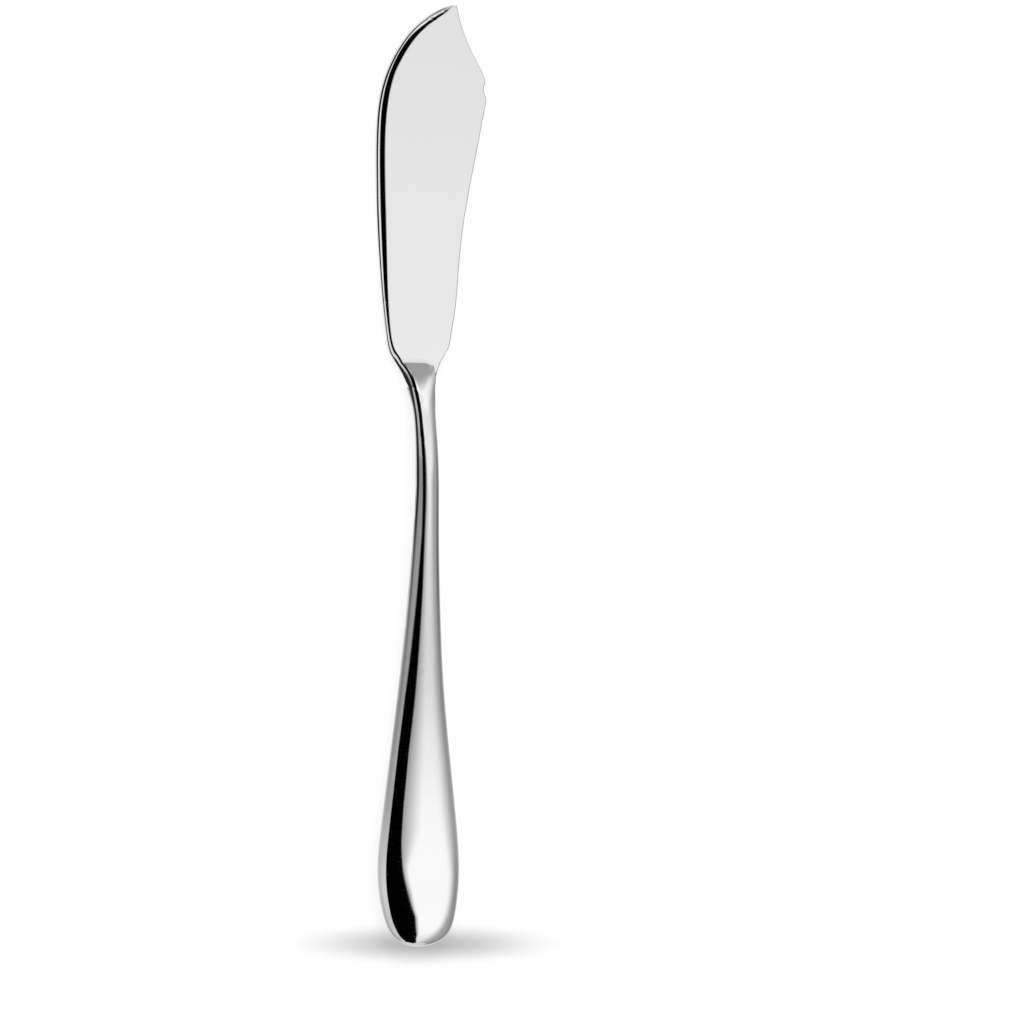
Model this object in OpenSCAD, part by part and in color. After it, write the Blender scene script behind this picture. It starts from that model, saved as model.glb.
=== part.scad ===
// Fish knife with a hollow handle: a forged blade whose tang is cemented into two brazed shells.
// It lies on its back: +Z is the front face, +Y points to the blade's tip, +X to the notched back.

/* [Handle] */
// Length of the handle, from its end to its mouth
handle_l = 112; // [95:1:130]
// Width of the handle where it is widest
handle_w = 18.6; // [15:0.1:23]
// Thickness of the handle where it is thickest
handle_t = 8; // [6.5:0.1:10]
// Thickness of the shells' wall
shell_wall = 0.8; // [0.5:0.05:1.1]

/* [Neck] */
// Length of the neck, from the handle's mouth to the blade's flat face
neck_l = 18; // [15:0.5:22]
// Width of the neck at the handle's mouth
neck_w = 5; // [4.2:0.1:6]
// Thickness of the neck at the handle's mouth
neck_t = 4.4; // [3.7:0.1:5.2]
// Height of the arch under the neck
arch_h = 2.25; // [1.2:0.05:3]
// Width of the ramp where it runs down to the flat face
ramp_w = 7.6; // [6.6:0.1:8.6]

/* [Blade] */
// Length of the blade's flat face, from the ramp to the tip
blade_l = 80; // [65:1:95]
// Width over the curved edge and the corner of the back
blade_w = 24.75; // [21:0.25:29]
// Thickness of the blade
blade_t = 2.6; // [2.2:0.05:3.2]
// Radius of the round along the curved edge
edge_r = 2.7; // [2.1:0.05:3]
// Rounding of the back's corners
corner_r = 0.3; // [0.15:0.05:0.6]
// Depth of the notch in the back
notch_depth = 0.7; // [0.3:0.05:1.2]
// Length of the notch in the back
notch_l = 4.8; // [3.6:0.1:6]

/* [Tang] */
// Length of the tang inside the cement
tang_l = 60; // [40:1:75]
// Width of the tang at its root
tang_w = 2.6; // [2:0.1:3]
// Thickness of the tang at its root
tang_t = 1.8; // [1.2:0.1:2.2]
// Length of the shank that fills the handle's mouth
shank_l = 6; // [4:0.5:8]

/* [Braze] */
// Thickness of the braze between the two shells
seam_t = 0.1; // [0.06:0.01:0.2]
// Thickness of the braze between the handle's mouth and the neck
neck_braze_t = 0.2; // [0.1:0.05:0.4]

/* [Hidden] */

steel = [0.80, 0.81, 0.82];
braze_metal = [0.74, 0.71, 0.66];
cement = [0.45, 0.43, 0.40];

total_l = handle_l + neck_l + blade_l;
face_at = handle_l + neck_l;
neck_at = handle_l + neck_braze_t;
shank_at = handle_l - shank_l;
tang_end_at = shank_at - tang_l;

// Height of the narrow land below the rounded edge
edge_land = 0.08;
// Angle at which the rounded edge leaves the flat face
edge_turn = 21;
// Length over which the crease between ramp and flat face is rounded
crease_r = 0.2;
edge_round = min(edge_r, (blade_t - edge_land) / cos(edge_turn));
tang_taper_share = 0.7;
// The edge's round fades out over this share of the blade's length before the tip
edge_fade_share = 0.04;
// What is left of the edge's round at the tip, as a share of its radius
edge_tip_share = 0.1;
// At the heel the edge's round is smaller: by this share of its radius at the middle of these three places
// along the blade, and by nothing at the first and the last
heel_dip_share = 0.5;
heel_shares = [-0.08, 0.09, 0.44];
// Half of the stretch over which the edge's slope is taken, as a share of the blade's length
slope_share = 0.0025;
// Places along the neck, as shares of its length, where the plate of the blade grows out of it
flare_shares = [0.39, 0.94];
notch_place_share = 0.7675;
section_power = 2.2;
ramp_power = 3.2;

// Rows of place along the handle, left side and right side, as shares of its length and half its width
handle_side_shares = [
    [0, 0, 0], [0.023, -0.61, 0.72], [0.076, -0.88, 0.935], [0.156, -1, 0.99], [0.25, -0.922, 0.897],
    [0.393, -0.732, 0.69], [0.536, -0.55, 0.507], [0.679, -0.413, 0.39], [0.821, -0.316, 0.308]
];
// Rows of place along the neck, left side and right side, as shares of its length and width
neck_side_shares = [
    [-0.444, -0.528, 0.502], [0, -0.578, 0.422], [0.278, -0.618, 0.358], [0.444, -0.684, 0.34],
    [0.556, -0.762, 0.322], [0.667, -0.862, 0.31], [0.778, -0.99, 0.35], [0.889, -1.17, 0.44]
];
// Rows of place along the blade and side, as shares of its length and width
edge_shares = [
    [0, -0.283], [0.025, -0.334], [0.05, -0.362], [0.075, -0.377], [0.125, -0.4], [0.25, -0.444],
    [0.375, -0.477], [0.5, -0.498], [0.625, -0.507], [0.725, -0.4885], [0.8125, -0.421],
    [0.875, -0.325], [0.925, -0.211], [0.9625, -0.08], [0.9875, 0.048], [1, 0.186]
];
back_shares = [
    [0, 0.115], [0.025, 0.157], [0.0375, 0.181], [0.05, 0.198], [0.075, 0.21], [0.125, 0.234],
    [0.25, 0.266], [0.375, 0.299], [0.5, 0.358], [0.625, 0.4295], [0.7125, 0.478], [0.7375, 0.4915],
    [0.7675, 0.493], [0.791, 0.482], [0.8125, 0.455], [0.85, 0.3875], [0.9, 0.3035], [0.95, 0.241],
    [1, 0.196]
];
// Rows of place along the handle and thickness, as shares of its length and thickness
handle_thick_shares = [
    [0, 0], [0.023, 0.6], [0.076, 0.875], [0.156, 0.98], [0.25, 1], [0.357, 0.9625],
    [0.491, 0.875], [0.625, 0.775], [0.759, 0.6625]
];
// Rows of place along the neck and thickness, as shares of its length and thickness
neck_thick_shares = [
    [-0.667, 1.07], [-0.222, 1.023], [0, 1], [0.278, 0.96], [0.556, 0.943], [0.722, 0.864]
];
// Rows of place along the ramp and thickness, as shares of the neck's length and the blade's thickness
ramp_thick_shares = [[1.02, 1], [1.17, 0.65]];
// Rows of place along the handle and height of its underside, as shares of its length and thickness
belly_shares = [[0, 0.5], [0.023, 0.2], [0.076, 0.0625], [0.156, 0.0125], [0.25, 0.0025], [0.357, 0]];
// Rows of place along the handle and height of its underside, as shares of its length and the arch
rise_shares = [[0.491, 0.053], [0.625, 0.24], [0.759, 0.62], [0.893, 0.956], [0.964, 1]];
// Rows of place along the neck and height of its underside, as shares of its length and the arch
fall_shares = [[0.111, 0.844], [0.444, 0.444], [0.778, 0.089], [1, 0]];

// Points across half of a ring: the rounded edge, the face between, and the back's corner
edge_steps = 5;
corner_steps = 3;
half_steps = 16;
handle_steps = 26;

function mix(a, b, t) = a + (b - a) * t;
function ease(a, b, v) = let (t = min(1, max(0, (v - a) / (b - a)))) t * t * (3 - 2 * t);
// The larger of two heights, rounded where they cross over a height of r
function soft_max(a, b, r) = max(a, b) + (r > 0 ? pow(max(r - abs(a - b), 0), 2) / (4 * r) : 0);
function rows(shares, start, length, size, column = 1) =
    [for (p = shares) [start + p[0] * length, p[column] * size]];

// Stations are spaced by an angle, so that both ends of the knife close smoothly
function station(s) = acos(1 - 2 * min(1, max(0, s / total_l)));

// Second derivatives of the natural cubic curve through the rows
function bends(pts) =
    let (
        n = len(pts) - 1,
        t = [for (p = pts) station(p[0])],
        h = [for (i = [0:n - 1]) t[i + 1] - t[i]],
        rise = [for (i = [0:n - 1]) (pts[i + 1][1] - pts[i][1]) / h[i]],
        sweep = [
            for (
                i = 0, q = 0, r = 0; i < n;
                i = i + 1,
                pivot = i < n ? 2 * (h[i - 1] + h[i]) - h[i - 1] * q : 1,
                r = i < n ? (6 * (rise[i] - rise[i - 1]) - h[i - 1] * r) / pivot : 0,
                q = i < n ? h[i] / pivot : 0
            ) [q, r]
        ],
        back = [
            for (
                i = n, m = 0; i >= 0;
                i = i - 1,
                m = i > 0 ? sweep[i][1] - sweep[i][0] * m : 0
            ) m
        ]
    ) [for (i = [0:n]) back[n - i]];

function curve(pts) = [[for (p = pts) station(p[0])], [for (p = pts) p[1]], bends(pts)];

// Height of a curve at distance s from the handle's end
function at(c, s) =
    let (
        x = station(s),
        last = len(c[0]) - 2,
        i = len([for (k = [1:last]) if (x >= c[0][k]) 1]),
        h = c[0][i + 1] - c[0][i],
        a = (c[0][i + 1] - x) / h,
        b = 1 - a
    ) a * c[1][i] + b * c[1][i + 1]
        + ((a * a * a - a) * c[2][i] + (b * b * b - b) * c[2][i + 1]) * h * h / 6;

left_curve = curve(concat(
    rows(handle_side_shares, 0, handle_l, handle_w / 2),
    rows(neck_side_shares, handle_l, neck_l, neck_w),
    rows(edge_shares, face_at, blade_l, blade_w)
));
right_curve = curve(concat(
    rows(handle_side_shares, 0, handle_l, handle_w / 2, 2),
    rows(neck_side_shares, handle_l, neck_l, neck_w, 2),
    rows(back_shares, face_at, blade_l, blade_w)
));
thick_curve = curve(concat(
    rows(handle_thick_shares, 0, handle_l, handle_t),
    rows(neck_thick_shares, handle_l, neck_l, neck_t),
    rows(ramp_thick_shares, handle_l, neck_l, blade_t)
));
under_curve = curve(concat(
    rows(belly_shares, 0, handle_l, handle_t),
    rows(rise_shares, 0, handle_l, arch_h),
    rows(fall_shares, handle_l, neck_l, arch_h)
));

notch_at = face_at + blade_l * notch_place_share;
function notch(s) =
    abs(s - notch_at) < notch_l / 2 ? notch_depth * pow(cos(180 * (s - notch_at) / notch_l), 2) : 0;
function left(s) = at(left_curve, s);
function right(s) = at(right_curve, s) - notch(s);
function under(s) = s < face_at ? max(0, at(under_curve, s)) : 0;
function top(s) = under(s) + at(thick_curve, s);

// How far the section at s is on its way from the neck's oval to the blade's plate
function plate_share(s) = ease(handle_l + neck_l * flare_shares[0], handle_l + neck_l * flare_shares[1], s);
heel_at = [for (h = heel_shares) face_at + blade_l * h];
function heel(s) = s < heel_at[1] ? ease(heel_at[0], heel_at[1], s) : 1 - ease(heel_at[1], heel_at[2], s);
function edge_fade(s) =
    min(1, mix(edge_tip_share, 1, sqrt(max(0, total_l - s) / (blade_l * edge_fade_share))))
        * (1 - heel_dip_share * heel(s));
// How much wider the edge's round is across the knife than square to the edge
slope_step = blade_l * slope_share;
function slant(s) =
    let (a = max(0, s - slope_step), b = min(total_l, s + slope_step), g = (left(b) - left(a)) / (b - a))
    sqrt(1 + g * g);

// Points over the face of a plate's section, from left to right: place along x and share of the height
function face_row(k, xl, xr, reach, corner) =
    let (last = half_steps - corner_steps)
    k <= edge_steps
        ? let (v = mix(90, edge_turn, k / edge_steps))
            [xl + reach * (1 - sin(v)) / (1 - sin(edge_turn)), cos(v) / cos(edge_turn)]
    : k < last
        ? [mix(xl + reach, xr - corner, (k - edge_steps) / (last - edge_steps)), 1]
    : k < half_steps
        ? let (v = 90 * (k - last) / (corner_steps - 1))
            [xr - corner * (1 - sin(v)), 1 - 2 * corner * (1 - cos(v)) / blade_t]
    : [xr, 0];

// The same over the back of the plate, whose left corner is a small chamfer
function back_row(k, xl, xr, corner) =
    let (last = half_steps - corner_steps, chamfer = min(edge_land, (xr - xl) / 2))
    k == 0 ? [xl, 0]
    : k < last ? [mix(xl + chamfer, xr - corner, (k - 1) / (last - 1)), 1]
    : face_row(k, xl, xr, chamfer, corner);

// One half of the section at s, as points [x, y, z]: side is 1 for the front and -1 for the back
function half_ring(s, side) =
    let (
        m = plate_share(s), xl = left(s), xr = right(s), xc = (xl + xr) / 2, a = (xr - xl) / 2,
        lo = under(s), hi = top(s),
        on_ramp = s < ramp_end_at, zc = (lo + hi) / 2,
        r = edge_round * edge_fade(s), land = blade_t - r * cos(edge_turn),
        reach = min(r * (1 - sin(edge_turn)) * slant(s), a), corner = min(corner_r, a / 2),
        neck_a = mix(a, ramp_w / 2, m), power = mix(section_power, ramp_power, m), g = seam_t / 2
    )
    [for (k = [0:half_steps])
        let (
            v = 180 * (1 - k / half_steps),
            ex = sign(cos(v)) * pow(abs(cos(v)), 2 / section_power),
            ez = pow(sin(v), 2 / section_power),
            row = side > 0 ? face_row(k, xl, xr, reach, corner) : back_row(k, xl, xr, corner),
            x = mix(xc + a * ex, row[0], m),
            plate_z = k < half_steps / 2 ? land : blade_t / 2,
            z0 = (on_ramp ? mix(zc, plate_z, m) : plate_z) + side * g,
            part = mix(ez, row[1], m),
            across = abs(x - xc) / neck_a,
            oval = across < 1 ? pow(1 - pow(across, power), 1 / power) : 0,
            face_z = on_ramp ? mix(hi, blade_t, m) : blade_t,
            plate = z0 + (face_z - z0) * part,
            crest = soft_max(face_z, hi, crease_r * m),
            z = side < 0 ? z0 + (lo - z0) * part
                : !on_ramp ? plate
                : x < xc ? z0 + (crest - z0) * part
                : soft_max(plate, z0 + (hi - z0) * (m > 0 ? oval : part), crease_r * m)
        )
        [x, s, z]];

function reversed(list) = [for (i = [len(list) - 1:-1:0]) list[i]];
function ring(s) = concat(half_ring(s, 1), reversed(half_ring(s, -1)));

// Half of the hollow inside the shells: the wall is full in the belly and thins toward the neck
function inset(a) = a * a / (a + shell_wall);
function hollow_at(s) = shell_wall + s * (handle_l - shell_wall) / handle_l;
function hollow_half(s, side) =
    let (h = half_ring(s, side), c = middle(s), a = (right(s) - left(s)) / 2, b = at(thick_curve, s) / 2)
    [for (p = h) [
        c[0] + (p[0] - c[0]) * inset(a) / a, hollow_at(s),
        c[1] + side * seam_t / 2 + (p[2] - c[1] - side * seam_t / 2) * inset(b) / b
    ]];
function hollow_ring(s) = concat(hollow_half(s, 1), reversed(hollow_half(s, -1)));
function middle(s) = [(left(s) + right(s)) / 2, (under(s) + top(s)) / 2];
function moved_to(ring, y) = [for (p = ring) [p[0], y, p[2]]];

// The tang is an oval bar that follows the handle's middle in a straight line
function tang_ring(s, scale) =
    let (c = middle(s))
    [for (k = [0:2 * half_steps + 1])
        let (v = 180 - 180 * (k <= half_steps ? k : k - 1) / half_steps)
        [c[0] + scale * tang_w / 2 * cos(v), s, c[1] + scale * tang_t / 2 * sin(v)
            + (k <= half_steps ? 1 : -1) * seam_t / 2]];

ramp_end_at = face_at + ramp_thick_shares[1][0] * neck_l - neck_l;
steps_to_shank = [for (j = [1:handle_steps]) station_of_hollow(shank_at) * pow(j / handle_steps, 2)];
function station_of_hollow(y) = (y - shell_wall) * handle_l / (handle_l - shell_wall);
handle_stations = concat(steps_to_shank, [handle_l]);

neck_steps = 20;
blade_steps = 8;
notch_steps = 14;
tip_steps = 14;
notch_start_at = notch_at - notch_l / 2;
notch_end_at = notch_at + notch_l / 2;
blade_stations = concat(
    [for (j = [0:neck_steps]) mix(neck_at, ramp_end_at, j / neck_steps)],
    [for (j = [1:blade_steps]) mix(ramp_end_at, notch_start_at, j / blade_steps)],
    [for (j = [1:notch_steps]) mix(notch_start_at, notch_end_at, j / notch_steps)],
    [for (j = [1:tip_steps]) total_l - (total_l - notch_end_at) * pow(1 - j / tip_steps, 2)]
);
// The whole knife is moved so that its box is centred on the origin
x_mid = (min([for (s = blade_stations) left(s)]) + max([for (s = blade_stations) right(s)])) / 2;

function flat_list(lists) = [for (l = lists) each l];

// A solid through closed rings of equally many points, with a flat face at each end
module loft(rings) {
    n = len(rings[0]);
    last = len(rings) - 1;
    polyhedron(
        points = flat_list(rings),
        faces = concat(
            [[for (k = [n - 1:-1:0]) k]],
            [[for (k = [0:n - 1]) last * n + k]],
            skin(n, last)
        )
    );
}
function strip(a, b, k, next) = [[a + k, a + next, b + k], [a + next, b + next, b + k]];
function skin(n, last) =
    flat_list([for (i = [0:last - 1], k = [0:n - 1]) strip(i * n, (i + 1) * n, k, (k + 1) % n)]);

// A solid through closed rings that closes on two end points, one for each half of a ring
module cup(rings, first_end, second_end) {
    n = len(rings[0]);
    half = n / 2;
    last = len(rings) - 1;
    p = len(rings) * n;
    polyhedron(
        points = concat(flat_list(rings), [first_end, second_end]),
        faces = concat(
            flat_list([for (k = [0:half - 2]) [[n - 1 - k, n - 2 - k, k + 1], [n - 1 - k, k + 1, k]]]),
            skin(n, last),
            [for (k = [0:half - 2]) [last * n + k, last * n + k + 1, p]],
            [for (k = [half:n - 2]) [last * n + k, last * n + k + 1, p + 1]],
            [[last * n + half - 1, last * n + half, p], [last * n + half, p + 1, p]],
            [[last * n + n - 1, last * n, p + 1], [last * n, p, p + 1]]
        )
    );
}

module in_place() {
    translate([-x_mid, -total_l / 2, 0]) children();
}

// The end points of the shells, outside and in, on one side of the seam
function end_point(y, side) = let (c = middle(0)) [c[0], y, c[1] + side * seam_t / 2];

// One pressed half of the handle
module shell(side) {
    rings = [for (s = reversed(handle_stations)) concat(half_ring(s, side), reversed(hollow_half(s, side)))];
    cup(rings, end_point(0, side), end_point(shell_wall, side));
}

module blade() {
    shank = reversed([for (s = handle_stations) if (hollow_at(s) >= shank_at - seam_t) s]);
    color(steel) in_place() loft(concat(
        [for (s = reversed(blade_stations)) ring(s)],
        [moved_to(hollow_ring(handle_l), neck_at)],
        [for (s = shank) hollow_ring(s)],
        [tang_ring(shank_at, 1), tang_ring(tang_end_at, tang_taper_share)]
    ));
}

module front_handle_shell() {
    color(steel) in_place() shell(1);
}

module back_handle_shell() {
    color(steel) in_place() shell(-1);
}

module handle_seam() {
    stations = reversed(handle_stations);
    side_rings = [for (e = [0, half_steps]) [for (s = stations)
        [half_ring(s, 1)[e], half_ring(s, -1)[e], hollow_half(s, -1)[e], hollow_half(s, 1)[e]]]];
    end = [end_point(0, 1), end_point(0, -1), end_point(shell_wall, -1), end_point(shell_wall, 1)];
    color(braze_metal) in_place() loft(concat(side_rings[0], [end], reversed(side_rings[1])));
}

module tang_cement() {
    rings = [for (s = reversed(steps_to_shank)) hollow_ring(s)];
    color(cement) in_place() difference() {
        cup(rings, end_point(shell_wall, 1), end_point(shell_wall, -1));
        loft([
            moved_to(tang_ring(shank_at, 1), handle_l),
            tang_ring(shank_at, 1),
            tang_ring(tang_end_at, tang_taper_share)
        ]);
    }
}

module neck_braze() {
    color(braze_metal) in_place() difference() {
        loft([ring(neck_at), moved_to(ring(neck_at), handle_l)]);
        loft([
            moved_to(hollow_ring(handle_l), neck_at + shank_l),
            moved_to(hollow_ring(handle_l), shank_at)
        ]);
    }
}

blade();
front_handle_shell();
back_handle_shell();
handle_seam();
tang_cement();
neck_braze();
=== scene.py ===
import math

import bpy
import numpy as np
from mathutils import Matrix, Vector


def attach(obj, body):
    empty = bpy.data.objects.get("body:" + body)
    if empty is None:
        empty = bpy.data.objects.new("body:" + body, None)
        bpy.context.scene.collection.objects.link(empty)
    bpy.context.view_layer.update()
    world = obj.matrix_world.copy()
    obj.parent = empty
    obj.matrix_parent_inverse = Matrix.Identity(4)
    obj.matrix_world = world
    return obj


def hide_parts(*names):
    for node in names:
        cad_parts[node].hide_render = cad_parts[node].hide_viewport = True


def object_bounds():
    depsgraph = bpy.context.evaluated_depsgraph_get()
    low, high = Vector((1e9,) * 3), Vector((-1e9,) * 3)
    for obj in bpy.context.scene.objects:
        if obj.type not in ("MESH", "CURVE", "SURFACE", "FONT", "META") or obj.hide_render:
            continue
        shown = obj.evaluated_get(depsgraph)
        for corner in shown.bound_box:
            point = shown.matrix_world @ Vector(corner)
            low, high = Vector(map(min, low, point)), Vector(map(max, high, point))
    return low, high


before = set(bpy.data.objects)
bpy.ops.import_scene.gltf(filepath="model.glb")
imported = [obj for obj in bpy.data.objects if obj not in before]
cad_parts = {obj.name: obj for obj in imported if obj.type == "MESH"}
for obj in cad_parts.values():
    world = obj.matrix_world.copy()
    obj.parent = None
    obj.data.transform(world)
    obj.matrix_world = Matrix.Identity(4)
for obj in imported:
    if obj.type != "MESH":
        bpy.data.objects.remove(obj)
cad_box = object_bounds()

MM = 0.001

# Driving sizes in millimetres, the same as the solids'
HANDLE_L, HANDLE_W, HANDLE_T, SHELL_WALL = 112.0, 18.6, 8.0, 0.8
NECK_L, NECK_W, NECK_T, ARCH_H, RAMP_W = 18.0, 5.0, 4.4, 2.25, 7.6
BLADE_L, BLADE_W, BLADE_T = 80.0, 24.75, 2.6
EDGE_R, CORNER_R, NOTCH_DEPTH, NOTCH_L = 2.7, 0.3, 0.7, 4.8
TANG_L, TANG_W, TANG_T, SHANK_L = 60.0, 2.6, 1.8, 6.0
SEAM_T, NECK_BRAZE_T = 0.1, 0.2
EDGE_LAND, EDGE_TURN, CREASE_R = 0.08, math.radians(21), 0.2
TANG_TAPER_SHARE, EDGE_FADE_SHARE, EDGE_TIP_SHARE = 0.7, 0.04, 0.1
HEEL_DIP_SHARE, HEEL_SHARES = 0.5, (-0.08, 0.09, 0.44)
FLARE_SHARES = (0.39, 0.94)
NOTCH_PLACE_SHARE = 0.7675
SECTION_POWER, RAMP_POWER = 2.2, 3.2

TOTAL_L = HANDLE_L + NECK_L + BLADE_L
FACE_AT = HANDLE_L + NECK_L
NECK_AT = HANDLE_L + NECK_BRAZE_T
SHANK_AT = HANDLE_L - SHANK_L
TANG_END_AT = SHANK_AT - TANG_L
NOTCH_AT = FACE_AT + BLADE_L * NOTCH_PLACE_SHARE
EDGE_ROUND = min(EDGE_R, (BLADE_T - EDGE_LAND) / math.cos(EDGE_TURN))
RAMP_THICK = [(1.02, 1), (1.17, 0.65)]
RAMP_END_AT = HANDLE_L + RAMP_THICK[1][0] * NECK_L

# Rows of place and size, as shares of the lengths they belong to
HANDLE_SIDES = [(0, 0, 0), (0.023, -0.61, 0.72), (0.076, -0.88, 0.935), (0.156, -1, 0.99), (0.25, -0.922, 0.897),
                (0.393, -0.732, 0.69), (0.536, -0.55, 0.507), (0.679, -0.413, 0.39), (0.821, -0.316, 0.308)]
NECK_SIDES = [(-0.444, -0.528, 0.502), (0, -0.578, 0.422), (0.278, -0.618, 0.358), (0.444, -0.684, 0.34),
              (0.556, -0.762, 0.322), (0.667, -0.862, 0.31), (0.778, -0.99, 0.35), (0.889, -1.17, 0.44)]
EDGE = [(0, -0.283), (0.025, -0.334), (0.05, -0.362), (0.075, -0.377), (0.125, -0.4), (0.25, -0.444),
        (0.375, -0.477), (0.5, -0.498), (0.625, -0.507), (0.725, -0.4885), (0.8125, -0.421),
        (0.875, -0.325), (0.925, -0.211), (0.9625, -0.08), (0.9875, 0.048), (1, 0.186)]
BACK = [(0, 0.115), (0.025, 0.157), (0.0375, 0.181), (0.05, 0.198), (0.075, 0.21), (0.125, 0.234),
        (0.25, 0.266), (0.375, 0.299), (0.5, 0.358), (0.625, 0.4295), (0.7125, 0.478), (0.7375, 0.4915),
        (0.7675, 0.493), (0.791, 0.482), (0.8125, 0.455), (0.85, 0.3875), (0.9, 0.3035), (0.95, 0.241),
        (1, 0.196)]
HANDLE_THICK = [(0, 0), (0.023, 0.6), (0.076, 0.875), (0.156, 0.98), (0.25, 1), (0.357, 0.9625),
                (0.491, 0.875), (0.625, 0.775), (0.759, 0.6625)]
NECK_THICK = [(-0.667, 1.07), (-0.222, 1.023), (0, 1), (0.278, 0.96), (0.556, 0.943), (0.722, 0.864)]
BELLY = [(0, 0.5), (0.023, 0.2), (0.076, 0.0625), (0.156, 0.0125), (0.25, 0.0025), (0.357, 0)]
RISE = [(0.491, 0.053), (0.625, 0.24), (0.759, 0.62), (0.893, 0.956), (0.964, 1)]
FALL = [(0.111, 0.844), (0.444, 0.444), (0.778, 0.089), (1, 0)]

# Points across half of a ring: the rounded edge, the face between, and the back's corner
EDGE_N, FACE_N, CORNER_N = 26, 46, 8
HALF_N = EDGE_N + FACE_N + CORNER_N + 3
LINE_W = 0.03  # width over which the rounded edge turns into the flat face

# Rows along the blade, from the neck over the ramp, the face and the notch to the tip, and along the handle
BLADE_ROWS, TIP_ROWS, HANDLE_ROWS, SHANK_ROWS = (60, 75, 60, 34), 60, 190, 9
RAMP_LEAD = 3.0  # how far before the flat face the closer rows start
HOLLOW_EVERY = 6  # the hollow needs fewer rows than the handle's outside
OUTLINE_N = 4000

# Small lengths for slopes, and the least values that a division needs, at the ends of the knife
SLANT_STEP, NORMAL_STEP, NORMAL_STEP_SHARE, LEAST_STEP = BLADE_L / 400, 0.01, 0.2, 1e-5
TIP_INSET = 0.02  # the tip's normals are taken this far before it
LEAST_HALF_W, LEAST_CREASE, LEAST_NORM = 1e-6, 1e-9, 1e-12


def rows(shares, start, length, size, column=1):
    """Rows of place and size in millimetres from rows of shares."""
    return [(start + p[0] * length, p[column] * size) for p in shares]


def station(s):
    """Stations are spaced by an angle, so that both ends of the knife close smoothly."""
    return np.arccos(1 - 2 * np.clip(np.asarray(s, float) / TOTAL_L, 0, 1))


class Curve:
    """Natural cubic curve through rows of place and size."""

    def __init__(self, points):
        s, v = np.array(points, float).T
        t = station(s)
        h = np.diff(t)
        n = len(t)
        a = np.zeros((n, n))
        b = np.zeros(n)
        a[0, 0] = a[-1, -1] = 1
        for i in range(1, n - 1):
            a[i, i - 1:i + 2] = h[i - 1], 2 * (h[i - 1] + h[i]), h[i]
            b[i] = 6 * ((v[i + 1] - v[i]) / h[i] - (v[i] - v[i - 1]) / h[i - 1])
        self.t, self.v, self.h, self.m = t, v, h, np.linalg.solve(a, b)

    def __call__(self, s):
        x = station(s)
        i = np.clip(np.searchsorted(self.t, x, side="right") - 1, 0, len(self.h) - 1)
        h = self.h[i]
        a = (self.t[i + 1] - x) / h
        b = 1 - a
        return (a * self.v[i] + b * self.v[i + 1]
                + ((a ** 3 - a) * self.m[i] + (b ** 3 - b) * self.m[i + 1]) * h * h / 6)


left = Curve(rows(HANDLE_SIDES, 0, HANDLE_L, HANDLE_W / 2) + rows(NECK_SIDES, HANDLE_L, NECK_L, NECK_W)
             + rows(EDGE, FACE_AT, BLADE_L, BLADE_W))
right_curve = Curve(rows(HANDLE_SIDES, 0, HANDLE_L, HANDLE_W / 2, 2)
                    + rows(NECK_SIDES, HANDLE_L, NECK_L, NECK_W, 2) + rows(BACK, FACE_AT, BLADE_L, BLADE_W))
thick = Curve(rows(HANDLE_THICK, 0, HANDLE_L, HANDLE_T) + rows(NECK_THICK, HANDLE_L, NECK_L, NECK_T)
              + rows(RAMP_THICK, HANDLE_L, NECK_L, BLADE_T))
under_curve = Curve(rows(BELLY, 0, HANDLE_L, HANDLE_T) + rows(RISE, 0, HANDLE_L, ARCH_H)
                    + rows(FALL, HANDLE_L, NECK_L, ARCH_H))


def ease(a, b, v):
    """Smooth step from 0 at a to 1 at b."""
    t = np.clip((v - a) / (b - a), 0, 1)
    return t * t * (3 - 2 * t)


def right(s):
    """The back's side of the outline, with the notch cut into it."""
    d = np.abs(s - NOTCH_AT)
    return right_curve(s) - np.where(d < NOTCH_L / 2, NOTCH_DEPTH * np.cos(np.pi * d / NOTCH_L) ** 2, 0)


def under(s):
    """Height of the underside: zero below the blade's flat face."""
    return np.where(np.asarray(s) < FACE_AT, np.maximum(0, under_curve(s)), 0)


def top(s):
    """Height of the front side, away from the blade's edges."""
    return under(s) + thick(s)


def plate_share(s):
    """How far the neck's oval section has turned into the blade's plate."""
    return ease(HANDLE_L + NECK_L * FLARE_SHARES[0], HANDLE_L + NECK_L * FLARE_SHARES[1], s)


def edge_fade(s):
    """Share of its full radius that the rounded edge has: less at the heel and at the tip."""
    q = np.sqrt(np.maximum(0, TOTAL_L - s) / (BLADE_L * EDGE_FADE_SHARE))
    a, b, c = [FACE_AT + BLADE_L * h for h in HEEL_SHARES]
    heel = np.where(s < b, ease(a, b, s), 1 - ease(b, c, s))
    return np.minimum(1, EDGE_TIP_SHARE + (1 - EDGE_TIP_SHARE) * q) * (1 - HEEL_DIP_SHARE * heel)


def slant(s):
    """How much wider a section cut across the knife shows the edge than one cut square to the edge."""
    a, b = np.maximum(0, s - SLANT_STEP), np.minimum(TOTAL_L, s + SLANT_STEP)
    return np.hypot(1, (left(b) - left(a)) / (b - a))


def soft_max(a, b, r):
    """The larger of two heights, with the crease between them rounded by r."""
    return np.maximum(a, b) + np.maximum(r - np.abs(a - b), 0) ** 2 / (4 * np.maximum(r, LEAST_CREASE))


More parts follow.
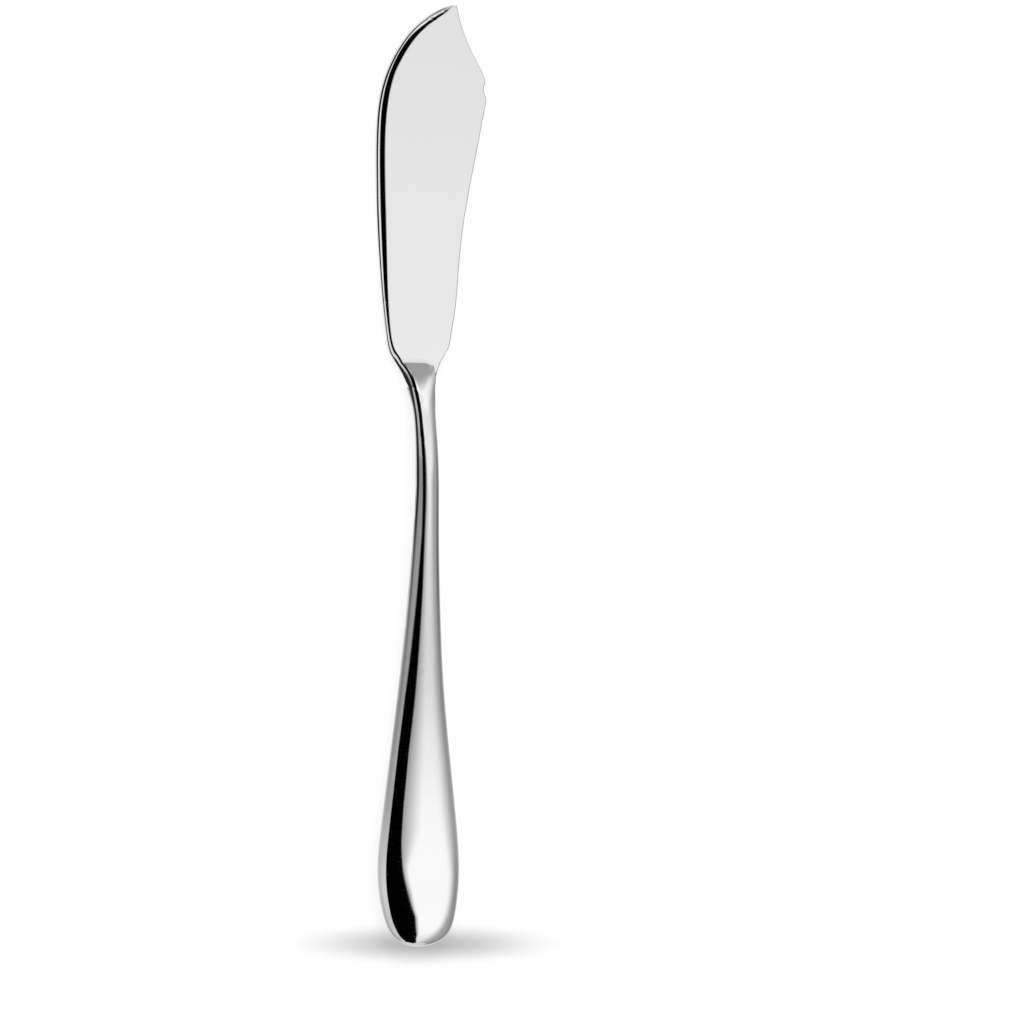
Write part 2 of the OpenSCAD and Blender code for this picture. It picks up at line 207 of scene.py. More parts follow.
def half_ring(s, side):
    """The front (side 1) or back (side -1) half of the section at each s, from left to right."""
    s = np.asarray(s, float).reshape(-1, 1)
    m, xl, xr = plate_share(s), left(s), right(s)
    xc, a = (xl + xr) / 2, np.maximum((xr - xl) / 2, LEAST_HALF_W)
    lo, hi = under(s), top(s)
    on_ramp = s < RAMP_END_AT
    zc = (lo + hi) / 2
    r = EDGE_ROUND * edge_fade(s)
    land = BLADE_T - r * math.cos(EDGE_TURN)
    corner = np.minimum(CORNER_R, a / 2)
    if side > 0:
        reach = np.minimum(r * (1 - math.sin(EDGE_TURN)) * slant(s), a)
        v = np.linspace(math.pi / 2, EDGE_TURN, EDGE_N + 1)
        edge_x = xl + reach * (1 - np.sin(v)) / (1 - math.sin(EDGE_TURN))
        edge_p = np.cos(v) / math.cos(EDGE_TURN)
    else:
        reach = np.minimum(EDGE_LAND, a)
        v = np.linspace(math.pi / 2, 0, EDGE_N + 1)
        edge_x = xl + reach * (1 - np.sin(v))
        edge_p = np.cos(v)
    edge_p = edge_p + 0 * s
    x0, x1 = xl + reach, xr - corner
    face_x = np.hstack([x0 + LINE_W, x0 + (x1 - x0) * np.linspace(0, 1, FACE_N + 1)[1:]])
    w = np.linspace(0, math.pi / 2, CORNER_N + 1)[1:]
    plate_x = np.hstack([edge_x, face_x, x1 + corner * np.sin(w), xr])
    plate_p = np.hstack([edge_p, 1 + 0 * face_x, 1 - 2 * corner * (1 - np.cos(w)) / BLADE_T, 0 * xr])
    n = plate_x.shape[1]
    k = np.arange(n)
    v = math.pi * (1 - k / (n - 1))
    ex = np.sign(np.cos(v)) * np.abs(np.cos(v)) ** (2 / SECTION_POWER)
    ez = np.clip(np.sin(v), 0, 1) ** (2 / SECTION_POWER)
    x = xc + a * ex
    x = x + (plate_x - x) * m
    plate_z = np.where(k < n / 2, land, BLADE_T / 2)
    z0 = np.where(on_ramp, zc + (plate_z - zc) * m, plate_z) + side * SEAM_T / 2
    part = ez + (plate_p - ez) * m
    if side < 0:
        z = z0 + (lo - z0) * part
    else:
        neck_a = a + (RAMP_W / 2 - a) * m
        power = SECTION_POWER + (RAMP_POWER - SECTION_POWER) * m
        across = np.minimum(np.abs(x - xc) / neck_a, 1)
        oval = np.where(m > 0, (1 - across ** power) ** (1 / power), part)
        face_z = np.where(on_ramp, hi + (BLADE_T - hi) * m, BLADE_T)
        plain = z0 + (face_z - z0) * part
        crest = soft_max(face_z, hi, CREASE_R * m)
        crown = soft_max(plain, z0 + (hi - z0) * oval, CREASE_R * m)
        ramp = np.where(x < xc, z0 + (crest - z0) * part, crown)
        z = np.where(on_ramp, ramp, plain)
    return np.stack([x, s + 0 * x, z], axis=-1)


def ring(s):
    """The whole section at each s: the front half, then the back half in the other direction."""
    return np.concatenate([half_ring(s, 1), half_ring(s, -1)[:, ::-1]], axis=1)


def middle(s):
    """Middle of the section at each s, across and in height."""
    s = np.asarray(s, float).reshape(-1, 1)
    return (left(s) + right(s)) / 2, (under(s) + top(s)) / 2


def inset(a):
    """Share of a half size that is left inside the wall."""
    return a / (a + SHELL_WALL)


def hollow_half(s, side):
    """Half of the hollow inside the shells: the wall is full in the belly and thins toward the neck."""
    p = half_ring(s, side)
    s = np.asarray(s, float).reshape(-1, 1)
    x, z = middle(s)
    z = z + side * SEAM_T / 2
    y = SHELL_WALL + p[..., 1] * (HANDLE_L - SHELL_WALL) / HANDLE_L
    return np.stack([x + (p[..., 0] - x) * inset((right(s) - left(s)) / 2), y,
                     z + (p[..., 2] - z) * inset(thick(s) / 2)], axis=-1)


def hollow_ring(s):
    """The whole hollow at each s, with a ring's points."""
    return np.concatenate([hollow_half(s, 1), hollow_half(s, -1)[:, ::-1]], axis=1)


def tang_ring(s, scale):
    """Oval section of the tang, with as many points as a ring has."""
    x, z = middle([s])
    v = np.concatenate([np.linspace(math.pi, 0, HALF_N), np.linspace(0, -math.pi, HALF_N)])
    side = np.repeat([1, -1], HALF_N) * SEAM_T / 2
    return np.stack([x[0] + scale * TANG_W / 2 * np.cos(v), s + 0 * v,
                     z[0] + scale * TANG_T / 2 * np.sin(v) + side], axis=-1)[None]


def surface_normals(make, s):
    """Normals of the surface of rings that make(s) gives, from its slopes along and across."""
    s = np.asarray(s, float)
    step = np.minimum(NORMAL_STEP, s * NORMAL_STEP_SHARE + LEAST_STEP)
    along = make(s + step) - make(s - step)
    p = make(s)
    across = np.roll(p, -1, axis=1) - np.roll(p, 1, axis=1)
    n = np.cross(across, along)
    return n / np.maximum(np.linalg.norm(n, axis=2, keepdims=True), LEAST_NORM)


def outward(rings):
    """Normals away from the middle of each ring, square to the knife's length."""
    n = rings - rings.mean(axis=1, keepdims=True)
    n[..., 1] = 0
    return n / np.linalg.norm(n, axis=2, keepdims=True)


def facing(direction, row_n, column_n):
    """The same normal for a whole patch."""
    return np.tile(np.array(direction, float), (row_n, column_n, 1))


outline = np.linspace(NECK_AT, TOTAL_L, OUTLINE_N)
X_MID = (left(outline).min() + right(outline).max()) / 2


class Skin:
    """Collects patches of points into one mesh with its own normals."""

    def __init__(self):
        self.points, self.normals, self.faces, self.count = [], [], [], 0

    def grid(self, points, normals, closed=False, flip=False):
        """A patch of rows of points. A closed one joins each row's end to its start."""
        row_n, column_n = points.shape[:2]
        base = self.count
        self.points.append(points.reshape(-1, 3))
        self.normals.append(normals.reshape(-1, 3))
        self.count += row_n * column_n
        for i in range(row_n - 1):
            for k in range(column_n if closed else column_n - 1):
                a, b = base + i * column_n + k, base + i * column_n + (k + 1) % column_n
                quad = (a, b, b + column_n, a + column_n)
                self.faces.append(quad[::-1] if flip else quad)

    def cap(self, points, normal, flip=False):
        """A fan from the middle of a closed row of points."""
        base = self.count
        mid = points.mean(axis=0, keepdims=True)
        self.points.append(np.vstack([points, mid]))
        self.normals.append(np.tile(np.array(normal, float), (len(points) + 1, 1)))
        self.count += len(points) + 1
        for k in range(len(points)):
            tri = (base + k, base + (k + 1) % len(points), base + len(points))
            self.faces.append(tri[::-1] if flip else tri)

    def build(self, name, mat, node):
        """Makes the mesh, in the frame's metres, in place of one node of the solids."""
        # The solids' facets cut the curves a little short, and nothing may stand out of the solids' box
        p = np.clip((np.vstack(self.points) - [X_MID, TOTAL_L / 2, 0]) * MM, cad_box[0], cad_box[1])
        mesh = bpy.data.meshes.new(name)
        mesh.from_pydata(p.tolist(), [], self.faces)
        mesh.shade_smooth()
        mesh.normals_split_custom_set_from_vertices(np.vstack(self.normals).tolist())
        mesh.materials.append(mat)
        obj = bpy.data.objects.new(name, mesh)
        bpy.context.scene.collection.objects.link(obj)
        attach(obj, "root")
        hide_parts(node)


def feed(tree, node, inputs):
    """Gives each named or numbered input a value, or links it to the output that feeds it."""
    for key, value in inputs.items():
        if isinstance(value, bpy.types.NodeSocket):
            tree.links.new(value, node.inputs[key])
        else:
            node.inputs[key].default_value = value


def add(tree, kind, inputs=None, **settings):
    """A new node with its settings and inputs."""
    node = tree.nodes.new(kind)
    for key, value in settings.items():
        setattr(node, key, value)
    feed(tree, node, inputs or {})
    return node


def calc(tree, operation, *values, **settings):
    """A sum on numbers and outputs of other nodes."""
    return add(tree, "ShaderNodeMath", dict(enumerate(values)), operation=operation, **settings).outputs[0]


def material(name):
    """A new material with its node tree and its main shader."""
    mat = bpy.data.materials.new(name)
    mat.use_nodes = True
    return mat, mat.node_tree, mat.node_tree.nodes["Principled BSDF"]


def object_place(tree):
    """Coordinates fixed to the object, in metres."""
    return add(tree, "ShaderNodeTexCoord").outputs["Object"]


def noise(tree, vector, scale, detail):
    """Noise over a vector, from 0 to 1."""
    return add(tree, "ShaderNodeTexNoise", {"Vector": vector, "Scale": scale, "Detail": detail}).outputs["Fac"]


def bump(tree, height, strength, distance):
    """Normals for a fine relief of the given height in metres."""
    return add(tree, "ShaderNodeBump", {"Height": height, "Strength": strength, "Distance": distance}).outputs[0]


# Colour inputs and output of a colour mix, whose sockets share their names with those of other kinds
MIX_A, MIX_B, MIX_OUT = 6, 7, 2
# Polishing lines: how close they are across and along, detail, height in metres and how strongly they show
LINES_SCALE, LINES_DETAIL, LINES_H, LINES_STRENGTH = (9000, 260, 9000), 3, 0.000001, 0.05
CLOUD_SCALE, CLOUD_DETAIL, CLOUD_SHADE = 55, 4, 0.985
# The sum of both noises, and the shares of the roughness that it runs over
NOISE_RANGE, GLOSS_RANGE = (0.7, 1.3), (0.85, 1.2)


def polished(name, colour, roughness):
    """Polished metal: fine lengthwise polishing lines and faint clouds vary the gloss and the surface."""
    mat, tree, shader = material(name)
    place = object_place(tree)
    stretched = add(tree, "ShaderNodeMapping", {"Vector": place, "Scale": LINES_SCALE}).outputs["Vector"]
    lines = noise(tree, stretched, 1, LINES_DETAIL)
    cloud = noise(tree, place, CLOUD_SCALE, CLOUD_DETAIL)
    gloss = add(tree, "ShaderNodeMapRange", {
        "Value": calc(tree, "ADD", lines, cloud),
        "From Min": NOISE_RANGE[0], "From Max": NOISE_RANGE[1],
        "To Min": roughness * GLOSS_RANGE[0], "To Max": roughness * GLOSS_RANGE[1],
    })
    shade = add(tree, "ShaderNodeMix", {
        0: cloud, MIX_A: (*[c * CLOUD_SHADE for c in colour], 1), MIX_B: (*colour, 1),
    }, data_type="RGBA")
    feed(tree, shader, {
        "Metallic": 1,
        "Roughness": gloss.outputs[0],
        "Base Color": shade.outputs[MIX_OUT],
        "Normal": bump(tree, lines, LINES_STRENGTH, LINES_H),
    })
    return mat


# Grit of the cement, its dark and light colours with the noise at which each starts, and its pores' depth
GRIT_SCALE, GRIT_DETAIL, GRIT_H, GRIT_STRENGTH, CEMENT_ROUGHNESS = 900, 6, 0.0001, 0.4, 0.85
CEMENT_COLOURS = [(0.35, (0.20, 0.18, 0.15, 1)), (0.65, (0.36, 0.33, 0.29, 1))]


def cement_material():
    """Dull grey-brown cement with grit and small pores."""
    mat, tree, shader = material("cement")
    grit = noise(tree, object_place(tree), GRIT_SCALE, GRIT_DETAIL)
    ramp = add(tree, "ShaderNodeValToRGB", {"Fac": grit})
    for element, (position, colour) in zip(ramp.color_ramp.elements, CEMENT_COLOURS):
        element.position = position
        element.color = colour
    feed(tree, shader, {
        "Roughness": CEMENT_ROUGHNESS,
        "Base Color": ramp.outputs["Color"],
        "Normal": bump(tree, grit, GRIT_STRENGTH, GRIT_H),
    })
    return mat


steel = polished("mirror_steel", (0.94, 0.94, 0.945), 0.06)
braze = polished("flush_braze", (0.94, 0.94, 0.94), 0.065)

# The blade with its neck, shank and tang, one forging
stops = [NECK_AT, FACE_AT - RAMP_LEAD, RAMP_END_AT, NOTCH_AT - NOTCH_L / 2, NOTCH_AT + NOTCH_L / 2]
stretches = [np.linspace(a, b, n)[:-1] for a, b, n in zip(stops, stops[1:], BLADE_ROWS)]
stretches.append(TOTAL_L - (TOTAL_L - stops[-1]) * (1 - np.linspace(0, 1, TIP_ROWS)) ** 2)
blade_s = np.concatenate(stretches)
blade = Skin()
blade.grid(ring(blade_s), surface_normals(ring, np.minimum(blade_s, TOTAL_L - TIP_INSET)), closed=True)
blade.cap(ring(TOTAL_L)[0], (0, 1, 0), flip=True)
at_neck = hollow_ring(HANDLE_L)
at_neck[..., 1] = NECK_AT
shoulder_n = facing((0, -1, 0), 2, 2 * HALF_N)
blade.grid(np.concatenate([at_neck, ring(NECK_AT)]), shoulder_n, closed=True)
shank_s = (np.linspace(SHANK_AT, HANDLE_L, SHANK_ROWS) - SHELL_WALL) * HANDLE_L / (HANDLE_L - SHELL_WALL)
shank = np.concatenate([hollow_ring(shank_s), at_neck])
blade.grid(shank, outward(shank), closed=True)
tang = np.concatenate([tang_ring(TANG_END_AT, TANG_TAPER_SHARE), tang_ring(SHANK_AT, 1)])
blade.grid(tang, outward(tang), closed=True)
blade.grid(np.concatenate([tang[1:], shank[:1]]), shoulder_n, closed=True)
blade.cap(tang[0], (0, -1, 0))
blade.build("blade_forging", steel, "blade")

# The two pressed shells of the handle
handle_s = HANDLE_L * (np.linspace(0, 1, HANDLE_ROWS)[1:]) ** 2
handle_n = surface_normals(ring, handle_s)
rim_s = handle_s[::HOLLOW_EVERY]
end_x, end_z = middle([0])
shells = [(1, "front_shell", "front_handle_shell"), (-1, "back_shell", "back_handle_shell")]
for side, name, node in shells:
    shell = Skin()
    outer = half_ring(handle_s, side)
    outer_n = handle_n[:, :HALF_N] if side > 0 else handle_n[:, HALF_N:][:, ::-1]
    pole = facing((end_x[0, 0], 0, end_z[0, 0] + side * SEAM_T / 2), 1, HALF_N)
    pole_n = facing((0, -1, 0), 1, HALF_N)
    shell.grid(np.concatenate([pole, outer]), np.concatenate([pole_n, outer_n]), flip=side < 0)
    inner = np.concatenate([hollow_half(rim_s, side), hollow_half([HANDLE_L], side)])
    shell.grid(inner, -outward(inner), flip=side > 0)
    shell.grid(np.stack([outer[-1], inner[-1]]), facing((0, 1, 0), 2, HALF_N), flip=side < 0)
    for k in (0, HALF_N - 1):
        rim = np.stack([half_ring(rim_s, side)[:, k], hollow_half(rim_s, side)[:, k]], axis=1)
        shell.grid(rim, facing((0, 0, -side), len(rim_s), 2), flip=(k == 0) == (side > 0))
    shell.build(name, steel, node)

# The braze between the shells, drawn flush with their skin all round
seam_line = Skin()
for k in (0, HALF_N - 1):
    back_k = 2 * HALF_N - 1 - k
    strip = ring(handle_s)[:, [k, back_k]]
    seam_line.grid(strip, handle_n[:, [k, back_k]], flip=k == 0)
seam_line.build("seam_line", braze, "handle_seam")

# The ring of braze between the handle's mouth and the neck
neck_ring = Skin()
neck_ring_s = np.array([HANDLE_L, (HANDLE_L + NECK_AT) / 2, NECK_AT])
neck_ring.grid(ring(neck_ring_s), surface_normals(ring, neck_ring_s), closed=True)
neck_ring.build("neck_ring", braze, "neck_braze")

# The cement inside keeps the solid's own shape
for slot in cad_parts["tang_cement"].material_slots:
    slot.material = cement_material()

# Studio: a light tent round the knife, with cards and flags near it, which only the polish shows. Angles are
# degrees from the viewing side towards the left, round the knife's axis. Places are millimetres along the
# knife from its middle. Levels are the display levels, from 0 to 255, at which the polish shows a tone.
VIEW_TILT = math.radians(15)
AXIS_Z = 4.0
POLISH = 0.93  # share of the light that the polish gives back
DISPLAY_LIFT, DISPLAY_POWER, DISPLAY_MAX = 0.055, 2.4, 255  # the display's own curve
BLACK, BLACK_LEVEL = 0.0, 0
TENT_R, TENT_HALF_L, FAR_CARD_R, CARD_R, GLOW_R = 300, 900, 290, 60, 62
FLAG_AT = 19.5
CARD_STEP, FLAG_STEP = 0.5, 1.0  # degrees from one row of points to the next
TENT_ANGLES, TENT_PLACES = np.linspace(-180, 180, 241), np.linspace(-TENT_HALF_L, TENT_HALF_L, 301)
TENT_END_ANGLES, TENT_END_RADII = np.arange(-180, 181, 5.0), np.linspace(0.5, TENT_R, 12)


def tone(level):
    """Light that the polish shows at a display level."""
    c = np.asarray(level, float) / DISPLAY_MAX
    return ((c + DISPLAY_LIFT) / (1 + DISPLAY_LIFT)) ** DISPLAY_POWER / POLISH


def between(v, first, first_soft, last, last_soft):
    """1 between two soft borders and 0 outside them."""
    return ease(first - first_soft, first + first_soft, v) * (1 - ease(last - last_soft, last + last_soft, v))


def profile(v, level, *steps):
    """Levels along v: the first one, then for each step its border, how far it is soft, and the next level."""
    total = level
    for border, soft, following in steps:
        total = total + (following - level) * ease(border - soft, border + soft, v)
        level = following
    return total


def by_place(table, y):
    """The columns of rows that start with a place or a distance, at every y."""
    table = np.array(table, float)
    return [np.interp(y, table[:, 0], column) for column in table.T[1:]]


def even(value):
    """A light or a cover that is the same all over a sheet."""
    return lambda ang, y: value


def card_material():
    """Plain light where the mesh's own cover says so, and clear elsewhere."""
    mat, tree, shader = material("card")
    tree.nodes.remove(shader)
    light, cover = [add(tree, "ShaderNodeVertexColor", layer_name=n).outputs["Color"] for n in ("light", "cover")]
    clear = add(tree, "ShaderNodeBsdfTransparent").outputs[0]
    glow = add(tree, "ShaderNodeEmission", {"Color": light}).outputs[0]
    mixed = add(tree, "ShaderNodeMixShader", {0: cover, 1: clear, 2: glow}).outputs[0]
    feed(tree, tree.nodes["Material Output"], {"Surface": mixed})
    return mat


card_light = card_material()


def sheet(name, ang, radius, y, light, cover):
    """A sheet that only the polish shows, through a grid of points round the knife's axis."""
    turn = np.radians(ang) + VIEW_TILT
    p = np.stack([-radius * np.sin(turn), y, AXIS_Z + radius * np.cos(turn)], axis=-1)
    n_a, n_y = ang.shape
    faces = [(i * n_y + j, i * n_y + j + 1, (i + 1) * n_y + j + 1, (i + 1) * n_y + j)
             for i in range(n_a - 1) for j in range(n_y - 1)]
    mesh = bpy.data.meshes.new(name)
    mesh.from_pydata((p.reshape(-1, 3) * MM).tolist(), [], faces)
    for label, field in (("light", light), ("cover", cover)):
        layer = mesh.color_attributes.new(label, "FLOAT_COLOR", "POINT")
        values = np.repeat(np.broadcast_to(field, ang.shape).reshape(-1, 1), 4, axis=1)
        layer.data.foreach_set("color", values.astype(np.float32).ravel())
    mesh.materials.append(card_light)
    obj = bpy.data.objects.new(name, mesh)
    bpy.context.scene.collection.objects.link(obj)
    obj.visible_camera = obj.visible_diffuse = obj.visible_transmission = False
    obj.visible_shadow = obj.visible_volume_scatter = False


def wall(name, radius, angles, places, light, cover):
    """A piece of a cylinder round the knife."""
    ang, y = np.meshgrid(angles, places, indexing="ij")
    sheet(name, ang, radius + 0 * ang, y, light(ang, y), cover(ang, y))


def flag(name, place, angles, radii, light, cover, lean=0):
    """A piece of a disc square to the knife, or of a flat cone that leans toward the tip."""
    ang, r = np.meshgrid(angles, radii, indexing="ij")
    sheet(name, ang, r, place + lean * r, light(ang, r), cover(ang, r))


def card(right_rows, left_rows, start=None):
    """Cover of a card between two borders, each in rows of place, angle and how far the border is soft.

    A card with a start sets in over those two places.
    """
    def cover(ang, y):
        share = between(ang, *by_place(right_rows, y), *by_place(left_rows, y))
        return share * ease(*start, y) if start else share

    return cover


# Right side of the tent: place, its bright level, the angle where it falls to grey and how far that is soft,
# and its darkest level
RIGHT = [(-458, 226, 54, 18, 137), (-333, 245, 55.5, 17.5, 138), (-250, 250, 61.5, 12.5, 137),
         (-206, 250, 67, 13, 138), (-173, 249, 72.5, 14.5, 140), (-145, 248, 78, 14, 140), (-115, 249, 80, 18, 143),
         (-75, 246, 74, 28, 155), (-45, 232, 73, 27, 148), (-33, 205, 67, 23, 135), (-21, 228, 47, 19, 102),
         (8, 233, 43, 17, 112), (30, 234, 57, 19, 130), (100, 227, 66.5, 28.5, 155), (116, 226, 66.5, 28.5, 165),
         (135, 224, 52, 14, 198)]
# The grey strip beside the dark card: place, the angle where it starts and its width
STRIP = [(-350, -26, 4), (-200, -22, 4), (-148, -15, 5), (-122, -5, 9), (-95, 2, 29), (-67, 5, 33), (-45, 3, 33),
         (-34, -3, 30), (-28, -9, 18), (-18, -6, 24), (4, -1, 20), (60, 3, 10), (90, 5, 8)]
# Left side of the tent: place and its levels high up and low down
LEFT = [(-600, 185, 160), (-420, 200, 160), (-250, 195, 169), (-160, 208, 188), (-110, 200, 188),
        (-70, 186, 186), (-49, 163, 156), (-31, 165, 142), (-18, 150, 118), (-4, 138, 75), (10, 145, 60)]
# Dark band low on the left, which the blade's rounded edge shows: place, first and last angle
BAND = [(19, 106, 144), (28, 105, 146), (36, 104, 140), (49, 98, 128), (61, 98, 125), (74, 94, 119),
        (97, 92, 119), (137, 91, 120), (230, 86, 113), (315, 88, 116), (430, 97, 127), (600, 108, 136)]
BAND_SOFT, BAND_LEVEL, BESIDE_BAND_LEVEL = (3, 4), 30, 228
# Steps that are the same along the knife: border, how far it is soft and, where it is fixed, the next level.
# The left foot changes over NECK_SPAN, from its border beside the handle to the one beside the neck and the blade.
SIDE_LEVEL, STRIP_LEVEL, END_LEVEL = 160, 150, 205
RIGHT_LOW, RIGHT_FOOT = (92, 12), (140, 25, 215)
LEFT_START, LEFT_LOW, LEFT_FOOT_LEVEL = (15, 5), (81.5, 16.5), 210
LEFT_FOOT, LEFT_FOOT_AT_NECK, NECK_SPAN = (145, 20), (125, 15), (-45, -20)
BAND_START = (17, 3)
PAST_TIP, PAST_TIP_LEVEL, PAST_TIP_SIDE = (185, 20), 155, (60, 15, 195)


def tent_light(ang, y):
    """The right side with its grey strip and its part past the tip, then the left side with the dark band."""
    bright, border, soft, low = by_place(RIGHT, y)
    level = profile(-ang, bright, (border, soft, SIDE_LEVEL), (*RIGHT_LOW, low), RIGHT_FOOT)
    first, width = by_place(STRIP, y)
    level = STRIP_LEVEL + (level - STRIP_LEVEL) * np.clip((first - ang) / width, 0, 1)
    level = profile(y, level, (*PAST_TIP, profile(-ang, PAST_TIP_LEVEL, PAST_TIP_SIDE)))
    high, low = by_place(LEFT, y)
    neck = ease(*NECK_SPAN, y)
    foot = [a + (b - a) * neck for a, b in zip(LEFT_FOOT, LEFT_FOOT_AT_NECK)]
    on_left = profile(ang, high, (*LEFT_LOW, low), (*foot, LEFT_FOOT_LEVEL))
    first, last = by_place(BAND, y)
    dark = between(ang, first, BAND_SOFT[0], last, BAND_SOFT[1])
    band = BESIDE_BAND_LEVEL + (BAND_LEVEL - BESIDE_BAND_LEVEL) * dark
    on_left = profile(y, on_left, (*BAND_START, band))
    return tone(profile(ang, level, (*LEFT_START, on_left)))


wall("tent", TENT_R, TENT_ANGLES, TENT_PLACES, tent_light, even(1))
flag("tent_end", -TENT_HALF_L, TENT_END_ANGLES, TENT_END_RADII, even(tone(END_LEVEL)), even(1))

# Borders of the dark card close to the handle and the neck: place, angle, and how far the border is soft
DARK_RIGHT = [(-320, -50, 1), (-262, -42, 1), (-180, -28, 1), (-150, -25.5, 1), (-136, -23, 1), (-117, -21, 1),
              (-104, -12, 1), (-94, -3.5, 1), (-84, 2.6, 1), (-72, 5.6, 1), (-58, 5, 1), (-46, -2, 3), (-36, -6, 4),
              (-26, -9, 4), (-14, -6.5, 7), (0, -4.5, 8), (9, -2, 7), (14, -1, 6), (18, 2.5, 6), (27, 11, 5),
              (30, 13, 5), (36, 6, 5), (44, -2, 5), (52, 3, 5)]
DARK_LEFT = [(-560, 70, 2), (-480, 62, 2), (-320, 34, 2), (-148, 34, 2), (-123, 40.5, 2), (-107, 43.3, 2),
             (-93, 43.4, 2), (-80, 45.6, 2), (-69, 48.7, 2), (-55, 52.7, 2), (-44, 50.3, 5), (-34, 40.3, 8),
             (-24, 28.6, 8), (-13.5, 21, 8), (-1, 33, 7), (8, 34, 7), (15, 32.5, 6), (23, 40, 6), (26, 38, 6),
             (34, 21, 5), (42, 25, 5)]
wall("dark_card", CARD_R, np.arange(-56, 76, CARD_STEP), np.append(np.arange(-560, 19, 1.5), [19, FLAG_AT]),
     even(BLACK), card(DARK_RIGHT, DARK_LEFT))

# Far dark card, which the blade's rounded edge shows
FAR_RIGHT = [(19, 20, 4), (35, 17, 4), (46, 14, 4), (55, 17, 4), (64, 20, 4), (97, 19, 4), (128, 15, 4),
             (145, 17, 4), (200, 20, 4), (230, 14, 4), (266, 9, 4), (344, 3, 4), (400, -3, 4), (480, -10, 4)]
FAR_LEFT = [(19, 76, 4), (27, 78, 4), (37, 76, 4), (50, 74, 4), (97, 73, 4), (141, 75, 4), (249, 75, 4),
            (350, 79, 4), (430, 76, 4), (520, 65, 4), (600, 54, 4), (690, 43, 4), (760, 34, 4)]
wall("far_dark_card", FAR_CARD_R, np.arange(-20, 80, CARD_STEP), np.arange(FLAG_AT, 800, 3.0), even(BLACK),
     card(FAR_RIGHT, FAR_LEFT))

# Light card beside the neck, in front of the tent
GLOW_RIGHT = [(6, 34, 4), (20, 40, 4)]
GLOW_LEFT = [(6, 76, 3), (12, 74, 3), (20, 80, 3)]
GLOW_LEVEL = 168
wall("glow_card", GLOW_R, np.arange(10, 92, CARD_STEP), np.arange(2, 20, 0.5), even(tone(GLOW_LEVEL)),
     card(GLOW_RIGHT, GLOW_LEFT, start=(4, 7)))

# Low dark card beside the neck
LOW_TOP = [(-14, 105, 4), (-3, 78, 4), (8, 73, 4), (12, 73, 4), (19.5, 78, 4)]
LOW_FOOT = [(-14, 138, 6), (4, 126, 6), (11, 113, 6), (19.5, 112, 6)]
LOW_LEVEL = 42
wall("low_card", CARD_R, np.arange(44, 150, CARD_STEP), np.append(np.arange(-24, FLAG_AT, 0.5), FLAG_AT),
     even(tone(LOW_LEVEL)), card(LOW_TOP, LOW_FOOT, start=(-18, -6)))

# Flag beside the shoulder. Its lower side is shown by the neck: distance from the axis, borders of the dark
LOWER = [(3, 48, 67), (6.3, 28, 67), (9.5, 23, 66), (13.5, 17, 62), (18, 13.5, 57.5), (23, 11.5, 53), (28, 9.5, 49),
         (42, 4, 45.5), (60, 2, 43.5)]
LOWER_RIGHT_LEVEL, LOWER_LEFT_LEVEL, LOWER_SOFT, LOWER_START = 232, 180, (6, 5), (-12, -6)
LOWER_DARK, LOWER_FOOT = (78, 3, LOW_LEVEL), (118, 6, 240)
# Its upper side is shown by the shoulder and the start of the blade: distance, borders of the dark, and
# borders of the outer dark
UPPER = [(5, 26, 66, 80, 99), (6, 26, 66, 80, 103), (8, 26, 66, 80, 109), (10, 30, 67, 84, 115),
         (11, 34, 67, 86, 116), (12.5, 40, 67.5, 91, 119), (14, 43, 68, 93, 120), (15, 42, 70, 98, 122),
         (16.5, 41, 73, 105, 125), (19, 40, 72, 106, 129), (27, 39, 69.5, 106, 142), (45, 34, 68, 105, 142),
         (76, 30, 67, 106, 142), (126, 27, 68, 107, 142), (200, 25, 70, 107, 142), (290, 23, 72, 107, 142)]
UPPER_RIGHT_LEVEL, UPPER_DARK_LEVEL, UPPER_FOOT_LEVEL, UPPER_SOFT, OUTER_SOFT = 225, 35, 245, 5, 4
UPPER_LINE = (12.5, 1.5, 215)  # the light line between both darks is brighter farther out
UPPER_LINE_LEVEL = 140
UPPER_GAP = 0.02  # between both sides of the flag
# Near the axis the flag is open, except low on the left
OPEN_R, OPEN_ANGLES = (4.5, 5), (80, 86)


def lower_light(ang, r):
    """Grey to the right, black, grey to the left, then dark and bright low on the left."""
    first, last = by_place(LOWER, r)
    dark, light = (first, LOWER_SOFT[0], BLACK_LEVEL), (last, LOWER_SOFT[1], LOWER_LEFT_LEVEL)
    return tone(profile(ang, LOWER_RIGHT_LEVEL, dark, light, LOWER_DARK, LOWER_FOOT))


def upper_light(ang, r):
    """Grey to the right, black, a light line, the outer dark, and bright low on the left."""
    first, last, outer_first, outer_last = by_place(UPPER, r)
    line = profile(r, UPPER_LINE_LEVEL, UPPER_LINE)
    level = profile(ang, UPPER_RIGHT_LEVEL, (first, UPPER_SOFT, BLACK_LEVEL), (last, UPPER_SOFT, line),
                    (outer_first, OUTER_SOFT, UPPER_DARK_LEVEL), (outer_last, UPPER_SOFT, UPPER_FOOT_LEVEL))
    return tone(np.minimum(level, UPPER_FOOT_LEVEL))


def ring_cover(ang, r):
    """The whole flag but for the hole round the knife's axis."""
    return np.maximum(ease(*OPEN_R, r), ease(*OPEN_ANGLES, ang))


near_radii = np.append(np.arange(3, 24, 0.5), np.arange(24, 61, 2.0))
flag("lower_flag", FLAG_AT, np.arange(LOWER_START[0], 151, FLAG_STEP), near_radii, lower_light,
     lambda ang, r: ease(*LOWER_START, ang) * ring_cover(ang, r))
flag("upper_flag", FLAG_AT + UPPER_GAP, np.arange(0, 151, FLAG_STEP),
     np.append(near_radii, np.arange(64, 292, 4.0)), upper_light, ring_cover)

